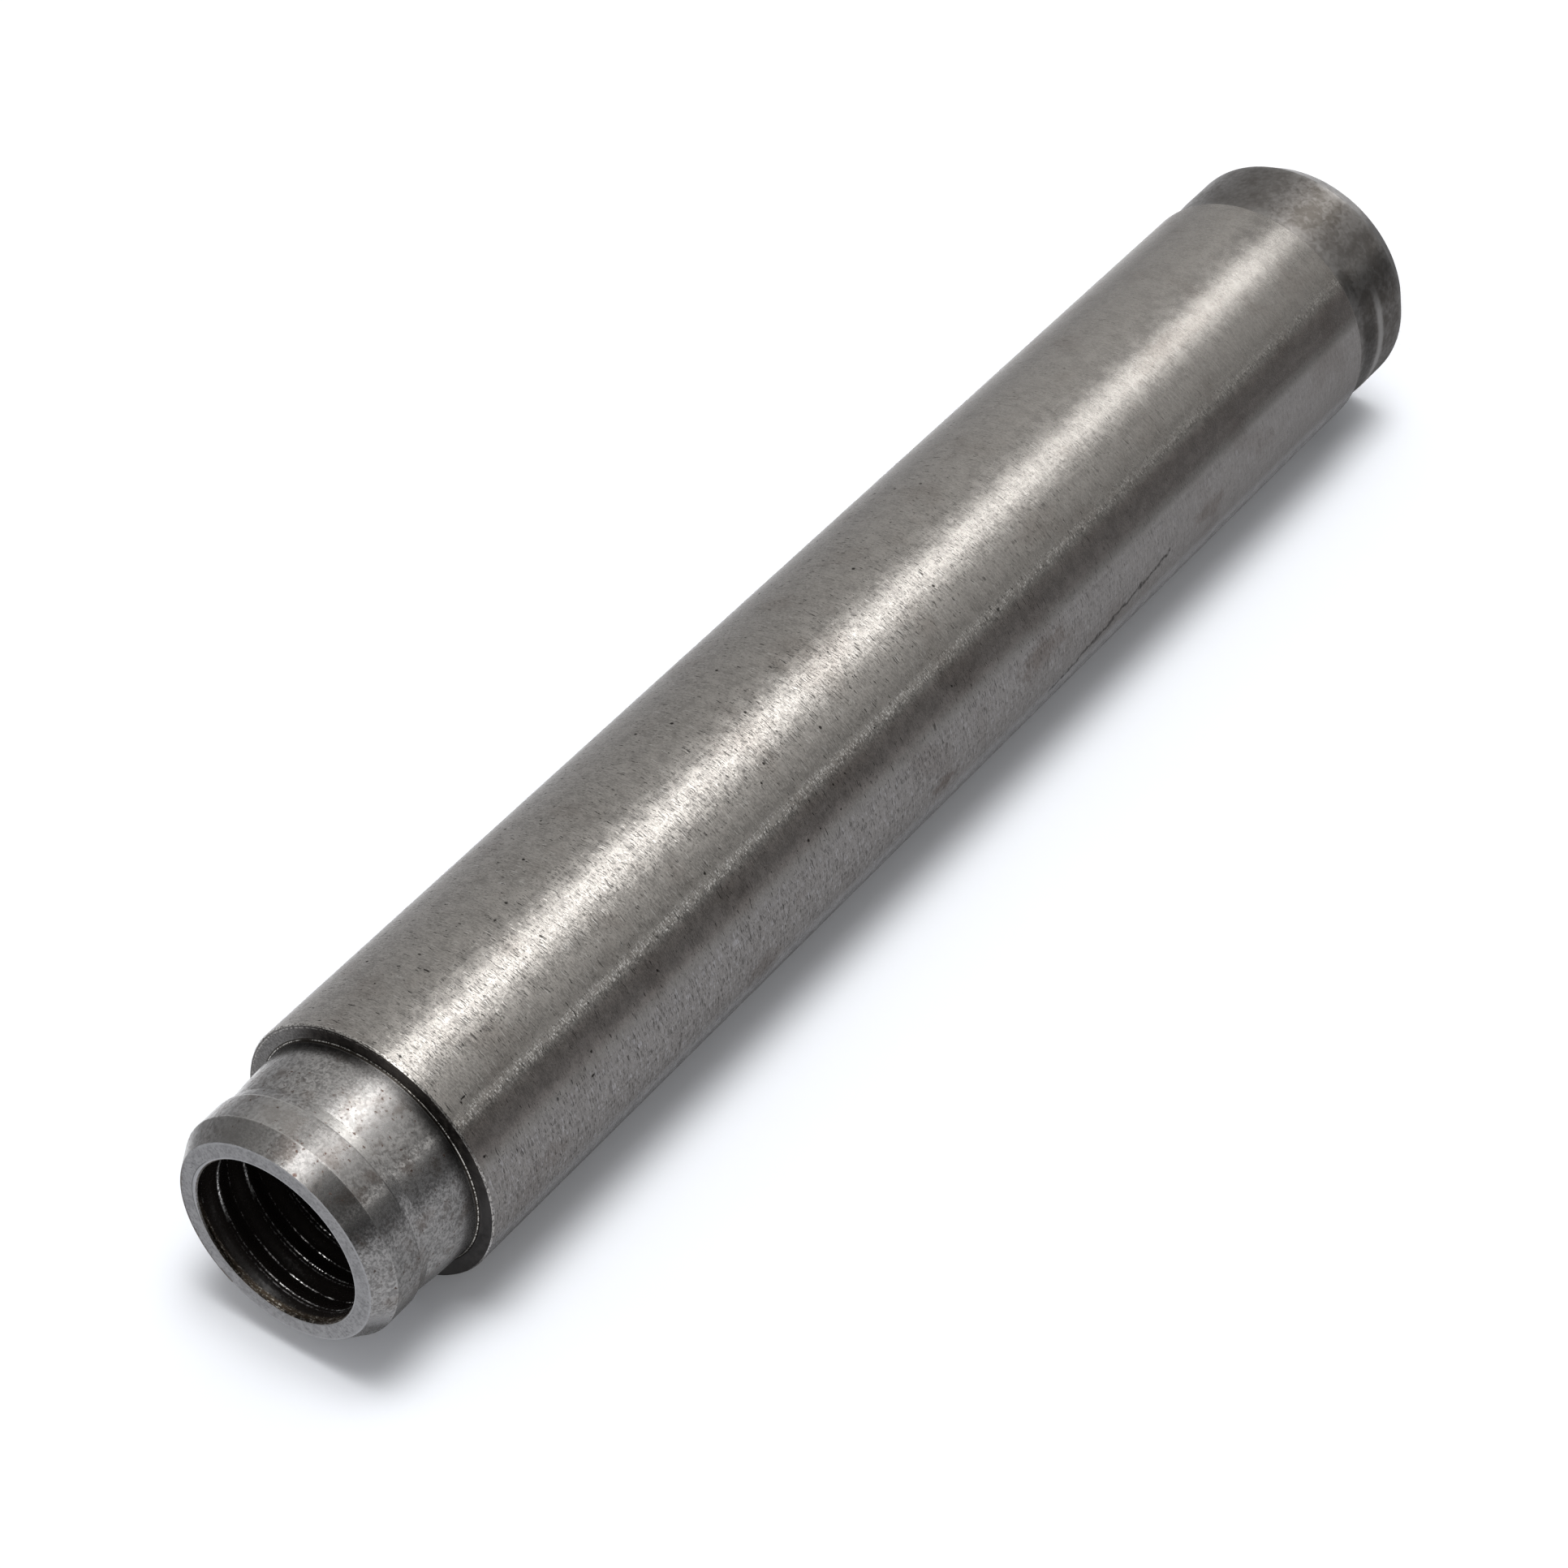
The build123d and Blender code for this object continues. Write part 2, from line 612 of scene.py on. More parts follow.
# Pits and knocks on the body: way round and height in millimetres, width, height
BODY_PITS = [
    (1.59, 64.33, 0.2, 0.13),
    (3.52, 64.93, 0.13, 0.17),
    (4.9, 68.16, 0.18, 0.12),
    (1.95, 73.02, 0.2, 0.13),
    (1.24, 63.3, 0.18, 0.08),
    (3.97, 68.8, 0.3, 0.1),
    (-3.43, 73.0, 0.14, 0.24),
    (-4.31, 66.35, 0.12, 0.26),
    (-0.98, 72.32, 0.08, 0.4),
    (-1.08, 72.56, 0.16, 0.08),
    (1.32, 42.16, 0.4, 0.07),
    (1.52, 42.02, 0.3, 0.06),
    (1.84, 36.52, 0.36, 0.07),
    (1.96, 36.4, 0.26, 0.06),
    (4.7, 44.63, 0.34, 0.07),
]

# Hairline mark low on the body: where it starts and ends in height, and how it drifts round
HAIRLINE_TOP, HAIRLINE_BOTTOM = 32.5, 22.5
HAIRLINE_START, HAIRLINE_DRIFT = -8.0, 0.176


def ground_steel(finish):
    """Body: centreless ground and finely lined, with dark dashes crowded where the highlight falls,
    and painted light and shade round it.
    """
    material, b = new_material("ground_steel")
    point = millimetres(b)
    flat = around, z = rolled_out(b, point)
    colour = tuple(finish.ground_colour)
    stain = tuple(finish.stain_colour)
    lines = b.noise(stretched(b, point, 1.7, 23.0), 1.0, 3.0, 0.62)
    grit = b.noise(stretched(b, point, 8.0, 22.0), 1.0, 2.0, 0.6)
    mottle = b.noise(point, 1.7, 4.0, 0.65)
    cloud = b.noise(point, 0.35)

    # Zones: coarser towards the seal end, painted shading towards the port end, the side where the
    # highlight falls, the fine strip where a thin light is reflected, the dark reflected band, a
    # rough lower flank
    worn = b.ease(z, 10.0, 60.0, 0.3)
    far_shading = b.fade(z, 18.0, 50.0)
    highlight_side = b.between(around, -0.4, 0.9, 2.5, 4.1)
    strip = b.between(around, -2.05, -1.75, -1.45, -1.2)
    band = b.between(around, -3.9, -3.3, -2.3, -1.9)
    flank = b.between(around, -13.0, -11.0, -4.5, -3.6)
    rim = b.ease(z, SHOULDER - 0.12, SHOULDER - 0.07)

    # Marks in five sizes
    sway = z + mottle * 0.25
    short, short_other = marks(b, around, sway, 0.29, 0.054)
    fine, fine_other = marks(b, around + 7.0, sway, 0.12, 0.05)
    long, long_other = marks(b, around + 3.0, sway, 0.7, 0.065)
    broad, broad_other = marks(b, around + 1.0, sway, 0.36, 0.11)
    hole, _ = marks(b, around + lines * 0.15, z + lines * 0.1, 0.55, 0.45)

    # Dark dashes, crowded where the highlight falls as painted shade of facets that lose it; bright
    # scratches painted just below the highlight, where they catch it; facets, chips and dints
    crowd = b.ease(cloud * 0.7 + mottle, 0.7, 1.0, 0.4, 0.85)
    crowd = crowd * (0.13 + highlight_side * 0.95 + flank * 0.5)
    dashes = b.most(
        drawn(b, short, crowd, 0.55) * b.ease(short_other, 0.2, 1.0, 0.25),
        drawn(b, fine, crowd * 0.8, 0.5) * b.ease(fine_other, 0.0, 1.0, 0.2, 0.8),
        drawn(b, long, crowd * 0.42, 0.42) * b.ease(long_other, 0.0, 1.0, 0.45),
    )
    dashes = dashes * b.ease(z, 8.0, 42.0, 0.25) * (1 - flank * 0.25)
    below = b.ease(around, -2.4, -1.0) * b.ease(around, 1.2, 2.6, 1.0, 0.25)
    scratches = drawn(b, long, below * 0.16, 0.36, unlucky=True) * worn
    facets = drawn(b, short, 0.5, 0.6, unlucky=True) * worn
    faint = b.ease(broad_other, 0.0, 1.0, 0.3)
    chips = drawn(b, broad, 0.45, 0.62, unlucky=True) * faint * worn
    dints = drawn(b, broad, 0.33, 0.66) * faint * worn
    # Painted glints: light specks in the strip where a thin light is reflected
    strip_glints = drawn(b, fine, 0.55, 0.75, unlucky=True)
    strip_glints = strip_glints * b.ease(fine_other, 0.0, 1.0, 0.2) * strip * worn

    # Pits and knocks, the hairline, and the nicked rim at the shoulder
    scattered = drawn(b, hole, 0.03, 0.2) * b.ease(z, 20.0, 40.0) * (1 - flank)
    ragged = grit * 1.6 - 0.8
    placed = [spot(flat, mark[:2], *mark[2:], ragged) for mark in BODY_PITS]
    holes = b.most(scattered, *placed)
    drift = (HAIRLINE_TOP - z) * HAIRLINE_DRIFT
    off_hairline = abs(around - HAIRLINE_START - drift + mottle * 0.9 - 0.45)
    hairline = b.fade(off_hairline, 0.05, 0.18) * (z > HAIRLINE_BOTTOM)
    hairline = hairline * (z < HAIRLINE_TOP) * b.ease(lines, 0.37, 0.5)
    nicks = rim * b.fade(grit, 0.38, 0.46, 0.6)

    mixed = b.ease(lines * 0.3 + mottle * 0.3 + grit * 0.4, 0.39, 0.59)
    # Painted highlight: brighter and darker patches where the highlight falls
    highlight_patches = b.blend(b.ease(mottle, 0.35, 0.65), grey(0.93), grey(1.13))
    # Painted reflection: the dark band tinted warmer, and lighter towards the seal end
    band_tint = b.blend(b.ease(z, 20.0, 50.0), (1.03, 0.985, 0.98), (1.09, 1.045, 1.035))
    # Painted light: the far side lighter towards the port end
    rolled = b.between(around, 6.0, 9.8, 10.8, 13.0) * b.fade(z, 8.0, 45.0, 0.9)
    rough_grey = flank * b.ease(mottle * 0.5 + grit * 0.5, 0.45, 0.58) * 0.3
    dint_depth = flank * b.ease(grit, 0.4, 0.6, 0.25, 0.85) + 0.05
    # Painted highlight: a pale broken rim at the shoulder, fainter on the lower side
    rim_highlight = rim * b.ease(grit, 0.46, 0.56) * b.ease(around, -6.0, -3.0, 0.4)
    stains = [
        (spot(flat, mark[:2], *mark[2:4], mottle * 2.4 - 1.2) * mark[4], stain)
        for mark in BODY_STAINS
    ]
    tone = b.coats(
        b.blend(mixed, shade(colour, 0.71), shade(colour, 1.18)),
        ((1 - worn) * 0.6, shade(colour, 0.95)),
        # Painted highlight: patchy where the highlight falls
        (highlight_side * worn, highlight_patches, "MULTIPLY"),
        # Painted reflection: the lower flank tinted a little blue
        (flank * 0.45, (0.97, 0.965, 1.03), "MULTIPLY"),
        (rough_grey, shade(colour, 0.5)),
        (chips * (flank * 0.36 + 0.04), (0.8, 0.79, 0.82)),
        (dints * dint_depth, shade(colour, 0.25)),
        # Painted shade, darker towards the port end, and painted glints in the strip where a thin
        # light is reflected
        (strip * b.ease(z, 20.0, 60.0, 0.85, 0.5), shade(colour, 0.62)),
        (strip_glints * 0.9, (0.95, 0.94, 0.92)),
        (b.ease(cloud, 0.52, 0.7) * 0.16, stain),
        # Painted light: a lighter band the length of the lower flank
        (spot(flat, (-8.6, 40.0), 1.8, 400.0) * 0.56, (0.75, 0.75, 0.77)),
        # Painted light and shade: the dark band tinted, the far side lighter towards the port end,
        # and towards the port end the highlight and the edge of the dark band dimmed and the side
        # beyond the highlight lifted
        (band, band_tint, "MULTIPLY"),
        (rolled, grey(1.6), "MULTIPLY"),
        (far_shading * b.between(around, -0.9, 0.3, 2.7, 3.4), grey(0.81), "MULTIPLY"),
        (far_shading * b.between(around, 3.3, 4.1, 6.0, 7.0), grey(1.2), "MULTIPLY"),
        (far_shading * spot(flat, (-3.6, 40.0), 0.9, 400.0), grey(0.76), "MULTIPLY"),
        # Painted shade: the highlight dimmed at the port end
        (highlight_side * b.fade(z, 5.5, 9.5, 0.3), SOOT_AND_SHADE),
        *stains,
        # Bright scratches painted where they catch the highlight, then dark dashes
        (scratches * 0.6, BARE_AND_HIGHLIGHT),
        (dashes * 0.92, shade(colour, 0.1)),
        # Painted highlight on the shoulder rim, then oily dirt in pits, nicks and the hairline
        (rim_highlight, (0.78, 0.76, 0.73)),
        (b.most(holes, nicks, hairline * 0.85) * 0.9, SOOT_AND_SHADE),
    )
    around_tip, axis_tip = tips(b, grit, worn * (0.1 + flank * 0.3), 0.4)
    line_tip, _ = tips(b, lines, 0.06, 0.0)
    facet_tip = facets * (short_other - 0.5) * (0.04 + highlight_side * 0.15)
    facet_tip = facet_tip + strip * (fine_other - 0.5) * 0.05
    polish = finish.ground_roughness
    roughness = b.ease(mottle, 0.35, 0.68, polish - 0.03, polish + 0.04)
    surface(
        b,
        tone,
        roughness + dashes * 0.25 + holes * 0.3,
        tipped(b, point, around_tip + line_tip + facet_tip, axis_tip),
        Anisotropic=0.88,
        Anisotropic_Rotation=0.25,
        Specular_Tint=(0.55, 0.55, 0.55, 1.0),
    )
    return material


def turned_steel(finish):
    """Spigot, relief, collar and mouths: turned, dulled and mottled, with painted light and shade
    round it, and brown at the port end.
    """
    material, b = new_material("turned_steel")
    point = millimetres(b)
    flat = around, z = rolled_out(b, point)
    colour = tuple(finish.turned_colour)
    stain = tuple(finish.stain_colour)
    mottle = b.noise(point, 4.6, 4.0, 0.68)
    grain = b.noise(stretched(b, point, 8.0, 12.0), 1.0, 3.0, 0.6)
    vein = b.noise(point, 3.4, 1.0, 0.5, 0.8)
    cloud = b.noise(point, 0.8)

    # Zones round the guide. front fades what is drawn on one side before it meets the back
    highlight_side = b.between(around, -0.6, 0.8, 2.6, 4.0)
    under = b.between(around, -13.0, -11.0, -6.4, -4.2)
    edge = b.between(around, -16.0, -14.0, -9.4, -7.6)
    far_side = b.between(around, 2.6, 7.0, 12.0, 17.0)
    front = b.near(around, 0.0, 12.0, 17.0)

    # Zones along it
    foot = b.fade(z, BODY_BOTTOM - 0.05, BODY_BOTTOM + 0.15)
    clean = b.ease(z, SHOULDER + 0.2, SHOULDER + 0.6)
    neck = b.fade(z, LIP_BOTTOM - 0.1, LIP_BOTTOM - 0.02) * (1 - foot)
    waist_flank = b.ease(z, WAIST - 0.1, WAIST + 0.05) * neck
    chamfer = b.ease(z, LIP_TOP - 0.02, LIP_TOP + 0.02)
    lip = b.ease(z, LIP_BOTTOM - 0.06, LIP_BOTTOM) * (1 - chamfer)

    # Mottling, with pale veins and brown stains, then painted light and shade round the spigot
    mottled = b.ease(mottle * 0.55 + grain * 0.45, 0.42, 0.58)
    mottled = mottled * (1 - foot * 0.8) * (1 - highlight_side * 0.3)
    veins = b.near(vein, 0.5, 0.015, 0.08) * neck * (1 - highlight_side)
    shoulder_shade = b.ease(around, 2.5, 4.5, 1.0, 0.3) + b.ease(around, 7.2, 9.6, 0.0, 0.7)
    waist_line = b.near(z, WAIST, 0.04, 0.2) * b.ease(around, 3.2, 4.6)
    tone = b.coats(
        b.blend(mottled, shade(colour, 1.1), shade(colour, 0.6)),
        (veins * b.ease(around, 3.0, 5.0, 0.25, 0.5) * front, (0.86, 0.85, 0.84)),
        (b.ease(mottle * 0.6 + cloud * 0.6, 0.62, 0.72) * (0.2 - foot * 0.17), stain),
        (under * b.ease(mottle, 0.5, 0.6) * 0.35, shade(colour, 0.55)),
        (b.ease(cloud, 0.5, 0.7) * (0.3 - foot * 0.15), stain),
        # Darker on the side away from the front, most on the chamfer
        (far_side * (0.35 + chamfer * 0.3), DULL_AND_SHADE),
        # The lip duller, with painted shade where the highlight falls on it, and painted shade
        # dimming the highlight on the chamfer and the neck
        (lip * (0.14 + spot(flat, (2.1, 77.8), 2.0, 40.0) * 0.42), DULL_AND_SHADE),
        (highlight_side * (chamfer * 0.25 + neck * 0.1), DULL_AND_SHADE),
        # Painted shade on the waist flank's far side and a painted highlight on it at the front; a
        # painted highlight on the neck
        (waist_flank * front * b.ease(around, 4.8, 7.2) * 0.76, DULL_AND_SHADE),
        (waist_flank * highlight_side * 0.6, (0.68, 0.67, 0.65)),
        (neck * spot(flat, (2.1, 76.0), 1.6, 2.6) * 0.16, BARE_AND_HIGHLIGHT),
        # Painted light along the lower edge
        (edge * (0.3 + chamfer * 0.35 - foot * 0.22), (0.9, 0.9, 0.93)),
        # Painted shade on the far side of the waist and along the lower side; the chamfer darker on
        # its far side and painted darker on its lower side
        (spot(flat, (7.9, 76.4), 3.2, 5.0) * (1 - chamfer) * (1 - lip) * 0.34, SOOT_AND_SHADE),
        (spot(flat, (-6.2, 76.5), 3.6, 40.0) * clean * (1 - chamfer * 0.5) * 0.17, SOOT_AND_SHADE),
        (chamfer * spot(flat, (9.9, 79.0), 3.0, 4.0) * 0.66, SOOT_AND_SHADE),
        (chamfer * spot(flat, (-4.4, 79.0), 2.4, 4.0) * 0.16, SOOT_AND_SHADE),
        # Painted light on the lip and on the chamfer, beside the highlight on its far side
        (lip * spot(flat, (4.5, 78.0), 3.2, 4.0) * 0.29, BARE_AND_HIGHLIGHT),
        (chamfer * spot(flat, (5.6, 79.0), 3.6, 4.0) * 0.2, BARE_AND_HIGHLIGHT),
        # Painted shade on the neck towards the shoulder, and a dark line at the waist
        (neck * b.fade(z, SHOULDER + 0.3, SHOULDER + 2.1, 0.27) * shoulder_shade, SOOT_AND_SHADE),
        (waist_line * front * 0.12, SOOT_AND_SHADE),
    )
    hole, hole_other = marks(b, around + grain * 0.3, z + mottle * 0.25, 0.26, 0.16)
    hole_share = b.ease(cloud, 0.42, 0.6, 0.12, 0.42) * (0.7 + highlight_side)
    holes = drawn(b, hole, hole_share, 0.36) * clean
    holes = holes * b.ease(hole_other, 0.2, 1.0, 0.3)
    rust = spot(flat, (1.75, 79.42), 0.26, 0.16, grain * 1.6 - 0.8)

    # Edges: painted shade and a painted highlight in the crease behind the lip, the worn lip, dirt
    # and painted shade at the foot of the neck, and a painted highlight on its corner
    crease = b.near(z, LIP_BOTTOM - 0.04, 0.015, 0.045)
    lit_side = b.ease(around, 2.6, 3.8, 0.0, 0.7) * b.ease(around, 4.6, 7.0, 1.0, 0.5)
    worn = b.near(z, LIP_TOP, 0.02, 0.05) * b.ease(grain, 0.42, 0.55)
    lowered = z + b.fade(around, -5.0, -1.0, 0.28)
    below, above = SHOULDER - 0.1, SHOULDER + 0.1
    dirt_and_shade = b.fade(lowered, above, SHOULDER + 0.95, 0.89) * (z > below)
    corner = b.between(z, *(SHOULDER + up for up in (0.01, 0.014, 0.032, 0.038)))
    gap = spot(flat, (7.1, SHOULDER), 1.2, 4.0)
    dashed = b.ease(b.noise(point, 11.0, 1.0), 0.43, 0.52, 0.1)
    tone = b.coats(
        tone,
        (rust * 0.8, (0.1, 0.045, 0.03)),
        # Painted shade in the crease at the front, and a painted highlight in it on the far side
        (crease * front * b.fade(around, 2.0, 3.2, 0.55), shade(colour, 0.3)),
        (crease * front * lit_side, (0.66, 0.65, 0.63)),
        (worn * 0.3, (0.8, 0.79, 0.77)),
        # Dirt and painted shade at the foot of the neck, less where the highlight falls, and
        # darkest in the corner
        (dirt_and_shade * (1 - highlight_side * 0.5), shade(colour, 0.1)),
        ((z < above) * (z > below) * 0.9, (0.03, 0.025, 0.02)),
        # Painted highlight on the corner, broken into dashes
        (corner * dashed * (1 - gap), (0.72, 0.7, 0.66)),
    )

    # Port end: brown and duller, with painted shade in places, a smudge in the relief, painted
    # shade in the relief on the lower side, and a painted highlight on the ridge above the collar
    smudge = spot(flat, (-2.0, 4.5), 1.6, 0.9, mottle * 3.0 - 1.5)
    # Duller in clouds, and painted shade where the highlight falls, on the lower side and on the
    # collar's far side
    dull_and_shade = b.ease(cloud * 0.5 + vein * 0.5, 0.34, 0.64) * 0.22 + highlight_side * 0.18
    dull_and_shade = dull_and_shade + b.fade(around, -4.0, -2.0, 0.16)
    dull_and_shade = dull_and_shade + spot(flat, (8.0, 1.5), 1.6, 40.0) * 0.15 - b.ease(z, 4.2, 4.6) * 0.15
    shaded = foot * b.near(z, 3.95, 0.3, 0.9) * b.fade(around, -5.6, -3.6)
    ridge_highlight = b.near(z, COLLAR_TOP, 0.06, 0.36) * b.fade(around, -5.0, -2.4, 0.62)
    tone = b.coats(
        tone,
        (foot * (0.57 + dull_and_shade), (0.108, 0.098, 0.088)),
        (foot * b.fade(z, PORT_LEAD_IN + 0.02, PORT_LEAD_IN + 0.4, 0.14), grey(0.8)),
        (smudge * 0.4, SOOT_AND_SHADE),
        (shaded * front * 0.55, SOOT_AND_SHADE),
        (ridge_highlight * front, (0.55, 0.54, 0.53)),
    )

    # Mouths: brown and rough, with a pale ring, lighter specks painted as glints, and painted shade
    # that breaks up the highlight at the back
    mouth = from_axis(b, point) < MOUTH_RADIUS
    ring = b.between(around, 8.0, 14.0, 14.5, 17.5) * b.ease(grain, 0.42, 0.56, 1.0, 0.2)
    highlight_breakup = b.fade(around, -15.0, -12.0) + b.ease(around, 16.5, 18.5)
    glint_specks = b.ease(grain, 0.5, 0.58) * b.ease(mottle, 0.4, 0.52, 0.1, 0.9)
    tone = b.coats(
        tone,
        (mouth * 0.92, b.blend(ring, (0.07, 0.05, 0.035), (0.62, 0.62, 0.64))),
        (mouth * glint_specks, (0.42, 0.4, 0.36)),
        (mouth * highlight_breakup * b.fade(mottle, 0.45, 0.55, 0.8), SOOT_AND_SHADE),
        (holes * 0.85, b.blend(hole_other, SOOT_AND_SHADE, (0.1, 0.05, 0.035))),
    )
    polish = finish.turned_roughness
    roughness = b.ease(mottle, 0.38, 0.62, polish - 0.06, polish + 0.05)
    roughness = roughness + foot * 0.08 + mouth * 0.35 + holes * 0.25 - corner * 0.1
    surface(
        b,
        tone,
        roughness,
        tipped(b, point, *tips(b, grain, 0.18 + mouth * 0.5, 0.2 + mouth * 0.5)),
        Anisotropic=0.6,
        Anisotropic_Rotation=0.25,
        Specular_Tint=(0.9, 0.9, 0.9, 1.0),
    )
    return material


def faced_steel(finish):
    """End faces: faced off, matt and slightly blue, with paler rims."""
    material, b = new_material("faced_steel")
    point = millimetres(b)
    radius = from_axis(b, point)
    around, _ = rolled_out(b, point)
    colour = tuple(finish.face_colour)
    mottle = b.noise(point, 2.2, 4.0, 0.65)
    grit = b.noise(point, 9.0, 3.0, 0.65)
    rim = b.most(b.ease(radius, 4.8, 4.88), b.fade(radius, 4.14, 4.22))

    # A crescent beside the mouth, where the bore was broken off centre
    mouth_edge = radius - b.near(around, 12.2, 0.0, 4.5, 0.11)
    crescent = b.fade(mouth_edge, 4.16, 4.18)
    outline = b.near(mouth_edge, 4.18, 0.01, 0.03)
    beside = b.fade(abs(around - 12.5), 2.5, 4.0, 0.6)
    nibbled = b.ease(radius + mottle * 0.3, 4.93, 5.02) * b.ease(around, 9.0, 14.0)
    mixed = b.ease(mottle * 0.5 + grit * 0.5, 0.41, 0.59)
    tone = b.coats(
        b.blend(mixed, shade(colour, 1.15), shade(colour, 0.76)),
        (b.ease(grit, 0.62, 0.68) * 0.55, shade(colour, 0.3)),
        (rim * b.ease(grit, 0.4, 0.56) * 0.45, (0.66, 0.67, 0.69)),
        (crescent * 0.4, (0.62, 0.63, 0.65)),
        (outline * beside, grey(0.08)),
        (nibbled * 0.75, (0.1, 0.075, 0.06)),
    )
    normal = tipped(b, point, *tips(b, grit, 0.35, 0.3))
    surface(b, tone, b.ease(mottle, 0.35, 0.65, 0.6, 0.5), normal)
    return material


def shoulder_steel():
    """Shoulder behind the spigot: nearly black with oil and painted shade, and painted paler on the
    side away from the front.
    """
    material, b = new_material("shoulder_steel")
    point = millimetres(b)
    around, _ = rolled_out(b, point)
    mottle = b.noise(point, 2.6, 4.0, 0.65)
    grit = b.noise(point, 8.0, 3.0, 0.65)
    dark = b.ease(mottle * 0.5 + grit * 0.5, 0.44, 0.6)
    lit_side = b.between(around, 5.6, 8.6, 13.0, 17.0) * b.ease(mottle, 0.4, 0.6, 0.75)
    ring = b.near(from_axis(b, point), 6.2, 0.01, 0.035) * b.ease(around, 1.0, 4.0)
    tone = b.coats(
        b.blend(dark, (0.075, 0.068, 0.065), (0.125, 0.112, 0.102)),
        # Painted light: lighter towards the lower side
        (b.fade(around, -5.5, -2.5) * 0.6, (0.15, 0.147, 0.15)),
        # Painted reflection: paler on the side away from the front
        (lit_side, b.blend(b.ease(grit, 0.4, 0.6), (0.155, 0.15, 0.147), (0.26, 0.255, 0.25))),
        # Painted highlight: a broken bright ring at the outer edge, away from the front
        (ring * b.ease(grit, 0.46, 0.54) * 0.8, (0.6, 0.58, 0.55)),
    )
    normal = tipped(b, point, *tips(b, grit, 0.15, 0.15))
    surface(b, tone, b.ease(mottle, 0.35, 0.65, 0.35, 0.5), normal)
    return material


def oiled_bore(finish, sizes):
    """Bore: nearly black with oil, beads of bare metal on the groove's land painted bright where
    they catch the light, brown at the mouth.
    """
    material, b = new_material("oiled_bore")
    point = millimetres(b)
    x, y, z = b.split(point)
    pitch, start = sizes.groove_pitch / MM, sizes.groove_start / MM
    land = sizes.land_width / MM
    phase = (z - start) / pitch - b.math("ARCTAN2", y, x) / math.tau
    phase = b.math("FRACT", phase + 100.5) - 0.5
    off_land = abs(phase * pitch)
    back = bearing_from(b, point, FRONT + 180) * (180 / math.pi)
    bead = b.noise(point, 9.0, 3.0, 0.65)
    smear = b.noise(point, 2.0)
    streaks = b.noise(stretched(b, point, 4.0, 18.0), 1.0, 3.0, 0.6)

    # Bearings on the far wall where the edges of the land catch the light, painted there as bright
    # beads
    catching = 0.1 + b.near(back, 28, 10.0, 34.0) + b.near(back, 80, 6.0, 24.0, 0.5)
    clump = b.ease(smear, 0.42, 0.58, 0.25)
    beads = b.ease(bead, 0.49, 0.56, 0.05) * catching * clump * 3.2

    # Bare metal on the land's edges and at the groove's root, painted brighter on the edge and the
    # side that catch the light, and a painted highlight on the whole land where it is lit
    to_root = (0.5 - abs(phase)) * pitch
    land_edge = b.near(off_land, land / 2, 0.012, 0.045) * b.ease(phase, -0.02, 0.02, 1.0, 0.2)
    root = b.fade(to_root, 0.012, 0.045) * b.ease(smear, 0.4, 0.55, 0.25)
    bare = b.most(land_edge, root * b.ease(back, -40.0, 0.0, 0.45))
    bare = bare * b.math("MINIMUM", beads, 1.0)
    whole = b.fade(off_land, land * 0.2, land * 0.42) * b.near(back, -60, 14.0, 34.0)
    bare = b.most(bare, whole * b.ease(bead, 0.42, 0.52, 0.3))
    brown = b.ease(z, 79.12, 79.3) * b.near(back, 15, 45.0, 75.0)
    glints = b.ease(streaks, 0.53, 0.61) * b.ease(bead, 0.46, 0.55, 0.15)
    tone = b.coats(
        b.blend(bare, tuple(finish.oil_colour), grey(0.98)),
        (brown * 0.9, (0.11, 0.085, 0.06)),
        (brown * glints * 0.9, (0.75, 0.71, 0.64)),
    )
    around_tip, axis_tip = tips(b, bead, 1.0, 1.0)
    around_tip = around_tip * (0.3 + bare * 2.2)
    axis_tip = axis_tip * (0.3 + bare * 1.7) + bare * 0.75
    roughness = b.ease(bead, 0.3, 0.7, 0.16, 0.28) + brown * 0.15
    normal = tipped(b, point, around_tip, axis_tip)
    surface(b, tone, roughness, normal, Metallic=b.most(bare, brown))
    return material


def guide_materials(finish, sizes):
    """Turned for the whole, then ground body, end faces, bore and shoulder over it."""
    return (
        turned_steel(finish),
        ground_steel(finish),
        faced_steel(finish),
        oiled_bore(finish, sizes),
        shoulder_steel(),
    )


class GUIDE_OT_turn(bpy.types.Operator):
    """Turn the guide: its outside, both end faces and the grooved bore, as one closed piece"""

    bl_idname = "guide.turn"
    bl_label = "Turn Guide"

    def execute(self, context):
        sizes = context.scene.guide_sizes
        outline = bpy.data.meshes.new("guide_outline")
        stations = outside(sizes)
        edges = [(i, i + 1) for i in range(len(stations) - 1)]
        outline.from_pydata([(p.x, 0.0, p.y) for p in stations], edges, [])
        piece = bpy.data.objects.new("guide_tube", outline)
        context.scene.collection.objects.link(piece)
        values = {
            "Segments": sizes.segments,
            "Length": LENGTH,
            "Bore Radius": sizes.bore_radius,
            "Mouth Break": sizes.mouth_break,
            "Groove Pitch": sizes.groove_pitch,
            "Groove Depth": sizes.groove_depth,
            "Land Width": sizes.land_width,
            "Groove Start": sizes.groove_start,
            "Body Low": (BODY_BOTTOM + 0.1) * MM,
            "Body High": SHOULDER * MM,
        }
        materials = guide_materials(context.scene.guide_finish, sizes)
        tree = draw_tube_tree(values, materials)
        modifier = piece.modifiers.new("tube", "NODES")
        modifier.node_group = tree
        for item in tree.interface.items_tree:
            if item.name in values:
                modifier[item.identifier] = values[item.name]
        mesh = plain_mesh(piece, "guide_tube")
        piece.modifiers.clear()
        piece.data = mesh
        close_outwards(mesh)
        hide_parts(NODE)
        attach(piece, "root")
        return {"FINISHED"}


# The stage


